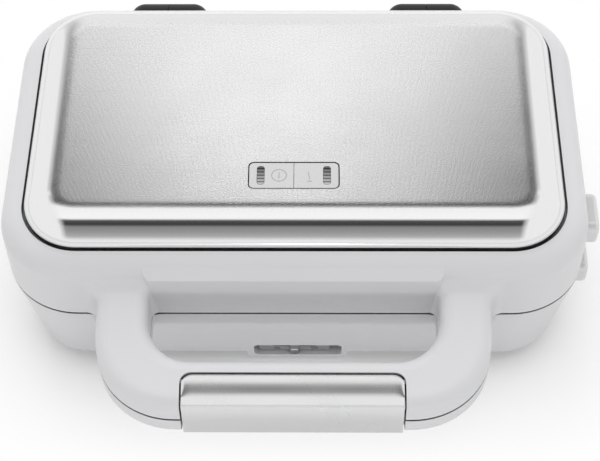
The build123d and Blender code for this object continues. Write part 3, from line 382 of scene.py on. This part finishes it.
def moulded_finish(name, dark, light, gloss, depth=0.00002, pebbles=2200.0, ior_level=0.5):
    """Moulded plastic: mould skin bump, gloss between two roughness values, a slow tone drift."""
    material, nodes, links, shader, place = new_finish(name, ior_level=ior_level)
    skin = use_group(nodes, links, moulded_skin, place, Pebbles_per_metre=pebbles)
    links.new(mix_colour(nodes, links, skin.outputs["Drift"], dark, light), shader.inputs["Base Color"])
    links.new(spread(nodes, links, skin.outputs["Drift"], *gloss), shader.inputs["Roughness"])
    bump(nodes, links, shader, skin.outputs["Pebble"], depth)
    return material


def dress(material, *names):
    """Gives CAD nodes one finish."""
    for name in names:
        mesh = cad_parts[name].data
        mesh.materials.clear()
        mesh.materials.append(material)


white_plastic = moulded_finish("white_plastic", (0.70, 0.70, 0.715), (0.73, 0.73, 0.74), (0.34, 0.42))
nodes, links = white_plastic.node_tree.nodes, white_plastic.node_tree.links
skin_colour = nodes["Principled BSDF"].inputs["Base Color"].links[0].from_socket
# Painted shade: the white plastic's colour goes to near black in narrow gaps, as at the cover's seat, and on
# the split seam's lips while the lid is shut.
gap_shade_node = use_group(nodes, links, painted_gap_shade, nodes.new("ShaderNodeTexCoord").outputs["Object"])
links.new(mix_colour(nodes, links, gap_shade_node.outputs["Open"], PAINTED_SHADE_BLACK, skin_colour),
          nodes["Principled BSDF"].inputs["Base Color"])
dress(white_plastic, "base_housing", "lid_housing")

# Bottom cover
# A dark grey moulded plate with two banks of vents. It closes the base from below, held by
# four screws.

grey_plastic = moulded_finish("grey_plastic", (0.085, 0.086, 0.09), (0.105, 0.106, 0.11), (0.5, 0.62),
                              depth=0.00004, pebbles=1500.0)
dress(grey_plastic, "base_bottom_cover")

# Feet
# Four feet of soft moulded rubber. Each has a button on its top, by which it is pulled
# through the bottom cover.

rubber = moulded_finish("rubber", (0.018, 0.018, 0.018), (0.032, 0.032, 0.032), (0.7, 0.85),
                        depth=0.00003, pebbles=3000.0, ior_level=0.3)
dress(rubber, "foot_front_left", "foot_front_right", "foot_rear_left", "foot_rear_right")

# Reflector trays
# Bright aluminised sheet, deep drawn, with drawing marks along its walls. One sits in each
# half under the element and carries the cooking plate.


def build_drawn_lines():
    """Long fine lines left by rolling or brushing, with a direction given by a stretch."""
    group, given, result = new_group("drawn_lines", ("Line", "Cloud"), vectors=("Place", "Stretch"))
    nodes, links = group.nodes, group.links
    scaled = nodes.new("ShaderNodeVectorMath")
    scaled.operation = "MULTIPLY"
    links.new(given["Place"], scaled.inputs[0])
    links.new(given["Stretch"], scaled.inputs[1])
    links.new(noise(nodes, links, scaled.outputs[0], 1.0, 4.0, roughness=0.65), result["Line"])
    links.new(noise(nodes, links, given["Place"], 24.0, 3.0), result["Cloud"])
    return group


drawn_lines = build_drawn_lines()


def metal_finish(name, dark, light, gloss, stretch, depth=0.00001):
    """Worked metal: fine lines in one direction, cloudy gloss, a narrow tone range."""
    material, nodes, links, shader, place = new_finish(name, metallic=1.0)
    lines = use_group(nodes, links, drawn_lines, place, Stretch=stretch)
    links.new(mix_colour(nodes, links, lines.outputs["Line"], dark, light), shader.inputs["Base Color"])
    links.new(spread(nodes, links, lines.outputs["Cloud"], *gloss), shader.inputs["Roughness"])
    bump(nodes, links, shader, lines.outputs["Line"], depth)
    return material


tray_steel = metal_finish("tray_steel", (0.52, 0.52, 0.53), (0.66, 0.66, 0.67), (0.22, 0.34),
                          (60.0, 60.0, 1800.0))
dress(tray_steel, "base_reflector_tray", "lid_reflector_tray")

# Heating elements
# One tube for each plate, bent to run round under both of its wells. The sheath is steel,
# browned by heat.

element_sheath = metal_finish("element_sheath", (0.10, 0.075, 0.055), (0.24, 0.20, 0.17), (0.4, 0.6),
                              (160.0, 160.0, 160.0), depth=0.00002)
dress(element_sheath, "lower_heating_element", "upper_heating_element")

# Cooking plates
# Cast aluminium with a dark, slightly speckled ceramic non-stick coat. They lift out when
# a release button is pressed.


def build_speckle():
    """Small specks in a coating: a mask of scattered dots, and a soft orange peel."""
    group, given, result = new_group("coat_speckle", ("Speck", "Peel"),
                                     Specks_per_metre=900.0, Speck_size=0.16)
    nodes, links = group.nodes, group.links
    cells = nodes.new("ShaderNodeTexVoronoi")
    links.new(given["Place"], cells.inputs["Vector"])
    links.new(given["Specks per metre"], cells.inputs["Scale"])
    speck = math_node(nodes, links, "LESS_THAN", cells.outputs["Distance"], given["Speck size"])
    links.new(speck, result["Speck"])
    links.new(noise(nodes, links, given["Place"], 700.0, 1.0), result["Peel"])
    return group


coat_speckle = build_speckle()
plate_coat, nodes, links, shader, place = new_finish("plate_coat")
specks = use_group(nodes, links, coat_speckle, place)
links.new(mix_colour(nodes, links, specks.outputs["Speck"], (0.035, 0.036, 0.038), (0.16, 0.16, 0.16)),
          shader.inputs["Base Color"])
links.new(spread(nodes, links, specks.outputs["Peel"], 0.28, 0.36), shader.inputs["Roughness"])
bump(nodes, links, shader, specks.outputs["Peel"], 0.00002)
dress(plate_coat, "lower_plate", "upper_plate")

# Small electrical parts
# A thermostat in a pressed cup, a fuse, a moulded nylon terminal block, and leads in
# glass-fibre sleeves. All sit under the base's tray.

pressed_cup = metal_finish("pressed_cup", (0.52, 0.50, 0.46), (0.64, 0.62, 0.58), (0.3, 0.45),
                           (300.0, 300.0, 300.0))
dress(pressed_cup, "thermostat", "thermal_fuse")
pale_nylon = moulded_finish("pale_nylon", (0.60, 0.59, 0.54), (0.66, 0.65, 0.60), (0.4, 0.5))
dress(pale_nylon, "terminal_block")
sleeve = moulded_finish("sleeve", (0.62, 0.61, 0.56), (0.72, 0.71, 0.66), (0.7, 0.8),
                        depth=0.0001, pebbles=1800.0)
dress(sleeve, "base_leads")

# Cord gland
# A bush moulded in soft black plastic, held in the rear wall between its flange and a keeper.
# Its bore is empty here.

black_plastic = moulded_finish("black_plastic", (0.012, 0.012, 0.013), (0.02, 0.02, 0.021), (0.42, 0.54),
                               ior_level=0.3)
dress(black_plastic, "cord_gland")

# Heat selector
# A grey moulded bezel with a slot, recessed in the front tongue. A slide switch behind it is
# worked by a small nub with a white line. Printed heat waves show the low and the high end.

bezel_plastic = moulded_finish("bezel_plastic", (0.30, 0.30, 0.305), (0.34, 0.34, 0.345), (0.38, 0.46))
dress(bezel_plastic, "selector_bezel")
nub_plastic = moulded_finish("nub_plastic", (0.20, 0.20, 0.205), (0.24, 0.24, 0.245), (0.4, 0.5))
dress(nub_plastic, "selector_slider")
dress(black_plastic, "selector_switch")

# Hinges
# Two hinges behind, each with a fixed and a moving knuckle moulded in black nylon and screwed
# to its half. The pin through both is ground steel, like the clip's pin and the springs.

dress(black_plastic, "base_hinge_left", "base_hinge_right", "lid_hinge_left", "lid_hinge_right")
ground_pin = metal_finish("ground_pin", (0.50, 0.50, 0.50), (0.60, 0.60, 0.60), (0.2, 0.3),
                          (2500.0, 60.0, 60.0))
dress(ground_pin, "hinge_pin_left", "hinge_pin_right", "clip_pivot_pin", "lower_button_spring",
      "upper_button_spring")

# Screws
# Zinc-plated steel screws with pan heads, turned in from inside or below. They hold the bottom
# cover, the trays, the hinge knuckles and the indicator board.

zinc = metal_finish("zinc", (0.45, 0.45, 0.44), (0.58, 0.58, 0.57), (0.3, 0.45), (500.0, 500.0, 500.0))
dress(zinc, "bottom_screws", "base_tray_screws", "lid_tray_screws", "base_hinge_screws",
      "lid_hinge_screws", "board_screws")

# Steel cover
# One stainless pressing: a flat top with a fine linen stipple, a rounded border that falls to a
# short skirt, and a window for the indicators. It drops into a seat in the lid housing.

STEEL_THICK = 0.0008
COVER_CORNER = 0.026
BORDER_IN = 0.0182
BORDER_FALL = 0.012
SKIRT_ABOVE = 0.0015
FLAT_RING = 0.002
WINDOW_CORNER = 0.0026
WINDOW_MARGIN = 0.001
GAP_FRONT, GAP_BEHIND, GAP_ASIDE = 0.00025, 0.0010, 0.0006
STIPPLE_STARTS, STIPPLE_FULL = 0.0005, 0.0001
BORDER_GLOSS = 0.085
cover_half_x = (cover_high[0] - cover_low[0]) / 2
cover_half_y = (cover_high[1] - cover_low[1]) / 2
cover_top = cover_high[2]
skirt_low = cover_low[2]


def build_linen_stipple():
    """Rolled linen pattern: a fine grid of diamonds, worn unevenly by a noise."""
    group, given, result = new_group("linen_stipple", ("Thread",), Diamonds_per_metre=860.0)
    nodes, links = group.nodes, group.links
    parts = nodes.new("ShaderNodeSeparateXYZ")
    links.new(given["Place"], parts.inputs[0])
    turns = math_node(nodes, links, "MULTIPLY", given["Diamonds per metre"], 2 * math.pi)
    waves = []
    for operation in ("ADD", "SUBTRACT"):
        along = math_node(nodes, links, operation, parts.outputs["X"], parts.outputs["Y"])
        along = math_node(nodes, links, "MULTIPLY", along, turns)
        waves.append(math_node(nodes, links, "SINE", along))
    grid = math_node(nodes, links, "MULTIPLY", *waves)
    grid = math_node(nodes, links, "MULTIPLY", grid, 0.22)
    wear = noise(nodes, links, given["Place"], 1500.0, 2.0)
    links.new(math_node(nodes, links, "ADD", grid, wear), result["Thread"])
    return group


linen_stipple = build_linen_stipple()
cover_steel, nodes, links, shader, place = new_finish("cover_steel", metallic=1.0)
linen = use_group(nodes, links, linen_stipple, place)
lines = use_group(nodes, links, drawn_lines, place, Stretch=(30.0, 2600.0, 2600.0))
heights = nodes.new("ShaderNodeSeparateXYZ")
links.new(place, heights.inputs[0])
on_top = map_range(nodes, links, heights.outputs["Z"], cover_top - STIPPLE_STARTS, cover_top - STIPPLE_FULL)
worn = spread(nodes, links, linen.outputs["Thread"], -0.5, 0.5)
worn = math_node(nodes, links, "MULTIPLY", worn, map_range(nodes, links, on_top, 0.0, 1.0, 0.15, 1.0))
worn = math_node(nodes, links, "ADD", worn, 0.5)
links.new(mix_colour(nodes, links, worn, (0.73, 0.73, 0.73), (0.91, 0.91, 0.91)),
          shader.inputs["Base Color"])
satin = spread(nodes, links, lines.outputs["Cloud"], 0.13, 0.18)
polish = nodes.new("ShaderNodeMix")
polish.inputs["A"].default_value = BORDER_GLOSS
links.new(satin, polish.inputs["B"])
links.new(on_top, polish.inputs["Factor"])
links.new(polish.outputs["Result"], shader.inputs["Roughness"])
height = math_node(nodes, links, "MULTIPLY", lines.outputs["Line"], 0.25)
height = math_node(nodes, links, "ADD", height, linen.outputs["Thread"])
height = math_node(nodes, links, "MULTIPLY", height, map_range(nodes, links, on_top, 0.0, 1.0, 0.1, 1.0))
bump(nodes, links, shader, height, 0.00002)


def rounded_ring(half_x, half_y, corner, corner_steps=14, side_steps=(26, 16)):
    """Points of a rounded rectangle, in order, anticlockwise from the front side's right end."""
    arcs = []
    for side_x, side_y, start in ((1, -1, -90), (1, 1, 0), (-1, 1, 90), (-1, -1, 180)):
        angles = [math.radians(start + 90 * step / corner_steps) for step in range(corner_steps + 1)]
        arcs.append([(side_x * (half_x - corner) + corner * math.cos(angle),
                      side_y * (half_y - corner) + corner * math.sin(angle)) for angle in angles])
    points = []
    for index, arc in enumerate(arcs):
        points += arc
        (x, y), (next_x, next_y) = arc[-1], arcs[(index + 1) % 4][0]
        count = side_steps[(index + 1) % 2]
        for step in range(1, count):
            points.append((x + (next_x - x) * step / count, y + (next_y - y) * step / count))
    return points


def cover_profile():
    """(inset from the rim, height): the skirt, the rounded border, and the flat top's outer ring."""
    profile = [(0.0, skirt_low), (0.0, cover_top - BORDER_FALL - SKIRT_ABOVE)]
    for angle in range(90, -1, -3):
        inset = BORDER_IN * (1 - math.sin(math.radians(angle)))
        profile.append((inset, cover_top - BORDER_FALL * (1 - math.cos(math.radians(angle)))))
    profile.append((BORDER_IN + FLAT_RING, cover_top))
    return profile


def bridge(shape, first, second):
    """Four-sided faces between two closed loops that have as many vertices."""
    for i in range(len(first)):
        j = (i + 1) % len(first)
        shape.faces.new((first[i], first[j], second[j], second[i]))


def loop_edges(shape, loop):
    """The edges round a closed loop of vertices, made where they don't exist yet."""
    pairs = zip(loop, loop[1:] + loop[:1])
    return [shape.edges.get(pair) or shape.edges.new(pair) for pair in pairs]


def finished_piece(name, shape, material, smooth=True, sharp_over=None):
    """Makes a bmesh into a piece, with its faces outwards and edges over an angle kept sharp."""
    bmesh.ops.recalc_face_normals(shape, faces=shape.faces)
    if sharp_over is not None:
        for edge in shape.edges:
            if len(edge.link_faces) == 2 and edge.calc_face_angle() > sharp_over:
                edge.smooth = False
    mesh = bpy.data.meshes.new(name)
    shape.to_mesh(mesh)
    shape.free()
    mesh.polygons.foreach_set("use_smooth", [smooth] * len(mesh.polygons))
    mesh.materials.append(material)
    piece = bpy.data.objects.new(name, mesh)
    bpy.context.scene.collection.objects.link(piece)
    return piece


left_tile_low, left_tile_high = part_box("indicator_tile_left")
right_tile_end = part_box("indicator_tile_right")[1][0]
window_half_x = (right_tile_end - left_tile_low[0]) / 2 + GAP_ASIDE
window_half_y = (left_tile_high[1] - left_tile_low[1] + GAP_FRONT + GAP_BEHIND) / 2
tile_y = (left_tile_high[1] + left_tile_low[1]) / 2
window_y = tile_y + (GAP_BEHIND - GAP_FRONT) / 2

pressing = bmesh.new()
rings = []
for inset, z in cover_profile():
    outline = rounded_ring(cover_half_x - inset, cover_half_y - inset, COVER_CORNER - inset)
    rings.append([pressing.verts.new((body_x + x, body_y + y, z)) for x, y in outline])
for lower, upper in zip(rings, rings[1:]):
    bridge(pressing, lower, upper)
window_loops = []
for grow in (0.0, WINDOW_MARGIN):
    outline = rounded_ring(window_half_x + grow, window_half_y + grow, WINDOW_CORNER + grow, 5, (4, 2))
    window_loops.append([pressing.verts.new((body_x + x, window_y + y, cover_top)) for x, y in outline])
window, margin = window_loops
bridge(pressing, margin, window)
for edge in loop_edges(pressing, window) + loop_edges(pressing, rings[0]):
    edge.smooth = False
bmesh.ops.triangle_fill(pressing, use_beauty=True,
                        edges=loop_edges(pressing, rings[-1]) + loop_edges(pressing, margin))
steel_cover = finished_piece("steel_cover", pressing, cover_steel)
sheet = steel_cover.modifiers.new("sheet", "SOLIDIFY")
sheet.thickness = STEEL_THICK
sheet.offset = -1.0
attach(steel_cover, "lid")
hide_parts("lid_cover")

# Indicator tiles and lenses
# Two satin silver tiles fill the window. Each has a ribbed smoked lens over a neon lamp that
# sits on a small phenolic board below.

tile_silver = metal_finish("tile_silver", (0.74, 0.74, 0.74), (0.80, 0.80, 0.80), (0.26, 0.32),
                           (2200.0, 900.0, 900.0), depth=0.000002)
tile_silver.node_tree.nodes["Principled BSDF"].inputs["Metallic"].default_value = 0.55
dress(tile_silver, "indicator_tile_left", "indicator_tile_right")

LENS_DARK, LENS_LIGHT = (0.06, 0.06, 0.06), (0.50, 0.50, 0.50)
smoked = moulded_finish("smoked_lens", LENS_DARK, LENS_LIGHT, (0.16, 0.24))
nodes, links = smoked.node_tree.nodes, smoked.node_tree.links
lens_place = nodes.new("ShaderNodeSeparateXYZ")
links.new(nodes.new("ShaderNodeTexCoord").outputs["Object"], lens_place.inputs[0])
# Painted light and shade: besides its smoked tint, the lens is coloured darker behind and lighter in front.
lens_low, lens_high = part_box("power_lens")
painted_light_towards_front = map_range(nodes, links, lens_place.outputs["Y"], lens_high[1], lens_low[1])
links.new(mix_colour(nodes, links, painted_light_towards_front, LENS_DARK, LENS_LIGHT),
          nodes["Principled BSDF"].inputs["Base Color"])
dress(smoked, "power_lens", "ready_lens")
phenolic = moulded_finish("phenolic", (0.22, 0.15, 0.07), (0.28, 0.19, 0.09), (0.5, 0.6))
dress(phenolic, "indicator_board")
lamp_glass = moulded_finish("lamp_glass", (0.55, 0.42, 0.32), (0.62, 0.48, 0.36), (0.08, 0.14))
dress(lamp_glass, "indicator_lamps")

# Printed marks
# Thin ink or etching on the surfaces that carry them: an on mark and a ready mark on the tiles,
# heat waves at both ends of the selector's bezel and a white line on its nub.

MARK_SINK = 0.00002
MARK_RISE = 0.00004
TILE_LINE = 0.00035
HEAT_LINE = 0.0004
NUB_LINE = 0.0009
ON_MARK_X, ON_MARK_RADIUS, ON_MARK_BAR = -0.0068, 0.0034, 0.0019
BELOW_SLOT = -0.0032
WAVE_STEPS = 12
WAVE_SWAY = 0.16
LOW_WAVE, LOW_PLACES = 0.0018, (-0.0099, -0.0090, -0.0081)
HIGH_WAVE, HIGH_PLACES = 0.0026, (0.0082, 0.0094, 0.0106)
NUB_LINE_DROP = 0.0056
NUB_LINE_INSET = 0.0007


def stroke(shape, plane, points, width):
    """A raised line along points (u, v) of a plane, given as its origin, u, v and outward axes."""
    origin, along_u, along_v, outward = plane
    path = [origin + along_u * u + along_v * v for u, v in points]
    rows = []
    for i, point in enumerate(path):
        ahead = (path[min(i + 1, len(path) - 1)] - path[max(i - 1, 0)]).normalized()
        across = outward.cross(ahead) * (width / 2)
        corners = ((1, -MARK_SINK), (1, MARK_RISE), (-1, MARK_RISE), (-1, -MARK_SINK))
        rows.append([shape.verts.new(point + across * side + outward * lift) for side, lift in corners])
    for first, second in zip(rows, rows[1:]):
        bridge(shape, first, second)
    shape.faces.new(rows[0])
    shape.faces.new(rows[-1])


def printed(name, plane, strokes, width, material, body):
    shape = bmesh.new()
    for points in strokes:
        stroke(shape, plane, points, width)
    mark = finished_piece(name, shape, material, smooth=False)
    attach(mark, body)


def heat_wave(x, height):
    """One rising wave below the slot, as points from its foot to its tip."""
    points = []
    for step in range(WAVE_STEPS + 1):
        share = step / WAVE_STEPS
        points.append((x + WAVE_SWAY * height * math.sin(2 * math.pi * share),
                       BELOW_SLOT + height * (share - 0.5)))
    return points


etched = metal_finish("etched_mark", (0.50, 0.50, 0.50), (0.56, 0.56, 0.56), (0.45, 0.55),
                      (900.0, 900.0, 900.0))
dark_ink = moulded_finish("dark_ink", (0.04, 0.04, 0.042), (0.06, 0.06, 0.062), (0.5, 0.6))
white_ink = moulded_finish("white_ink", (0.82, 0.82, 0.82), (0.86, 0.86, 0.86), (0.4, 0.5))
east, north, sky_up = Vector((1, 0, 0)), Vector((0, 1, 0)), Vector((0, 0, 1))

tile_plane = (Vector((body_x, tile_y, left_tile_high[2])), east, north, sky_up)
on_ring = [(ON_MARK_X + ON_MARK_RADIUS * math.cos(math.radians(angle)),
            ON_MARK_RADIUS * math.sin(math.radians(angle))) for angle in range(0, 361, 12)]
on_bar = [(ON_MARK_X, -ON_MARK_BAR), (ON_MARK_X, ON_MARK_BAR)]
ready_flag = [(0.0066, 0.0020), (0.0072, -0.0020)]
ready_base = [(0.0060, -0.0034), (0.0084, -0.0034)]
printed("on_mark", tile_plane, [on_ring, on_bar], TILE_LINE, etched, "lid")
printed("ready_mark", tile_plane, [ready_flag, ready_base], TILE_LINE, etched, "lid")

bezel_low, bezel_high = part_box("selector_bezel")
bezel_plane = (Vector((body_x, bezel_low[1], (bezel_low[2] + bezel_high[2]) / 2)), east, sky_up, -north)
low_waves = [heat_wave(x, LOW_WAVE) for x in LOW_PLACES]
high_waves = [heat_wave(x, HIGH_WAVE) for x in HIGH_PLACES]
printed("heat_marks", bezel_plane, low_waves + high_waves, HEAT_LINE, dark_ink, "base")

nub_low, nub_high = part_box("selector_slider")
nub_plane = (Vector(((nub_low[0] + nub_high[0]) / 2, nub_low[1], nub_high[2])), east, sky_up, -north)
nub_reach = (nub_high[0] - nub_low[0]) / 2 - NUB_LINE_INSET
printed("nub_line", nub_plane, [[(-nub_reach, -NUB_LINE_DROP), (nub_reach, -NUB_LINE_DROP)]], NUB_LINE,
        white_ink, "slider")

# Release buttons
# Two moulded caps on the right side, lacquered silver, one for each cooking plate. A spring
# behind each pushes it back out.

button_lacquer, nodes, links, shader, place = new_finish("button_lacquer", metallic=0.5)
skin = use_group(nodes, links, moulded_skin, place, Pebbles_per_metre=2600.0)
links.new(mix_colour(nodes, links, skin.outputs["Drift"], (0.69, 0.69, 0.69), (0.75, 0.75, 0.75)),
          shader.inputs["Base Color"])
links.new(spread(nodes, links, skin.outputs["Drift"], 0.36, 0.44), shader.inputs["Roughness"])
bump(nodes, links, shader, skin.outputs["Pebble"], 0.00001)
dress(button_lacquer, "upper_release_button", "lower_release_button")

# Each spring is copied from its CAD node into a mesh of its own, hung on its half.
for half, body in (("upper", "lid"), ("lower", "base")):
    spring_node = f"{half}_button_spring"
    spring = bpy.data.objects.new(f"{half}_return_spring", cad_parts[spring_node].data.copy())
    bpy.context.scene.collection.objects.link(spring)
    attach(spring, body)
    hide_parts(spring_node)
    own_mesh(spring)

# Closing clip
# A satin silver pressing that turns on a pin through the handle's upper half. Its lip is pulled
# to open it, and its hook snaps over a rib on the lower half.

clip_metal = metal_finish("clip_metal", (0.75, 0.75, 0.755), (0.80, 0.80, 0.805), (0.24, 0.29),
                          (45.0, 1400.0, 1400.0), depth=0.0000004)

# The scoop's stations: millimetres in front of the rear edge, and the fall there in degrees.
SCOOP = ((1.3, 6.0), (1.7, 10.0), (4.4, 17.0), (5.5, 19.5), (7.0, 21.3), (8.4, 20.3), (9.4, 17.5),
         (10.6, 14.0), (13.6, 9.0), (14.0, 14.0), (14.95, 19.0))
SCOOP_STEPS = 4
CLIP_CORNER = 0.005
CLIP_BARREL = 0.0026
CLIP_REAR_ROUND = 0.0013
CLIP_REAR_EXTRA = 0.0002
CLIP_SHEET = 0.0023
HOOK_REACH = 0.0031
UNDERSIDE_DROP = 0.0051
FULL_WIDTH_FRONT = 0.0047
EDGE_SOFTENING = 0.00006
clip_low, clip_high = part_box("handle_clip")
clip_x = (clip_low[0] + clip_high[0]) / 2
clip_half = (clip_high[0] - clip_low[0]) / 2
clip_rear, clip_front = clip_high[1] + CLIP_REAR_EXTRA, clip_low[1]
clip_top, clip_bottom = clip_high[2], clip_low[2]
barrel_front = clip_front + FULL_WIDTH_FRONT


def scoop_points():
    """(y, z) down the scoop, from the top behind to the sharp lip in front."""
    points = []
    z = clip_top
    for (near, near_fall), (far, far_fall) in zip(SCOOP, SCOOP[1:]):
        for step in range(1, SCOOP_STEPS + 1):
            fall = math.radians(near_fall + (far_fall - near_fall) * (step - 0.5) / SCOOP_STEPS)
            z -= math.tan(fall) * (far - near) / SCOOP_STEPS / 1000
            points.append((clip_rear - (near + (far - near) * step / SCOOP_STEPS) / 1000, z))
    return points


def clip_section():
    """(y, z) round the clip: the barrel's underside, its rear round, the scoop, the front, the hook."""
    barrel_y, barrel_z = clip_rear - CLIP_BARREL, clip_top - CLIP_BARREL
    section = []
    for angle in range(-90, 1, 15):
        turned = math.radians(angle)
        section.append((barrel_y + CLIP_BARREL * math.cos(turned), barrel_z + CLIP_BARREL * math.sin(turned)))
    for angle in range(0, 91, 15):
        turned = math.radians(angle)
        section.append((clip_rear - CLIP_REAR_ROUND * (1 - math.cos(turned)),
                        clip_top - CLIP_REAR_ROUND * (1 - math.sin(turned))))
    section += scoop_points()
    lip_z = section[-1][1]
    inner = clip_front + CLIP_SHEET
    section += [
        (clip_front + 0.00004, lip_z - 0.00002),
        (clip_front, lip_z - 0.0001),
        (clip_front, lip_z - 0.012),
        (clip_front, clip_bottom + 0.0004),
        (clip_front + 0.0003, clip_bottom),
        (clip_front + 0.0027, clip_bottom),
        (clip_front + HOOK_REACH, clip_bottom + 0.0022),
        (inner, clip_bottom + 0.003),
        (inner, clip_top - UNDERSIDE_DROP),
    ]
    return section


clip_shape = bmesh.new()
stations = [CLIP_CORNER * (1 - math.cos(math.radians(angle))) for angle in range(0, 91, 15)]
stations += [clip_half * 2 - along for along in reversed(stations)]
slices = []
for along in stations:
    from_end = min(along, clip_half * 2 - along, CLIP_CORNER)
    drawn_in = CLIP_CORNER - math.sqrt(max(CLIP_CORNER ** 2 - (CLIP_CORNER - from_end) ** 2, 0.0))
    squeeze = (clip_rear - drawn_in - barrel_front) / (clip_rear - barrel_front)
    x = clip_x - clip_half + along
    slices.append([
        clip_shape.verts.new((x, barrel_front + (y - barrel_front) * squeeze if y > barrel_front else y, z))
        for y, z in clip_section()])
for first, second in zip(slices, slices[1:]):
    bridge(clip_shape, first, second)
clip_shape.faces.new(slices[0])
clip_shape.faces.new(slices[-1])
clip_piece = finished_piece("closing_clip", clip_shape, clip_metal, sharp_over=math.radians(35))
soft_edges = clip_piece.modifiers.new("soft_edges", "BEVEL")
soft_edges.width = EDGE_SOFTENING
soft_edges.segments = 2
soft_edges.limit_method = "ANGLE"
soft_edges.angle_limit = math.radians(50)
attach(clip_piece, "clip")
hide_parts("handle_clip")
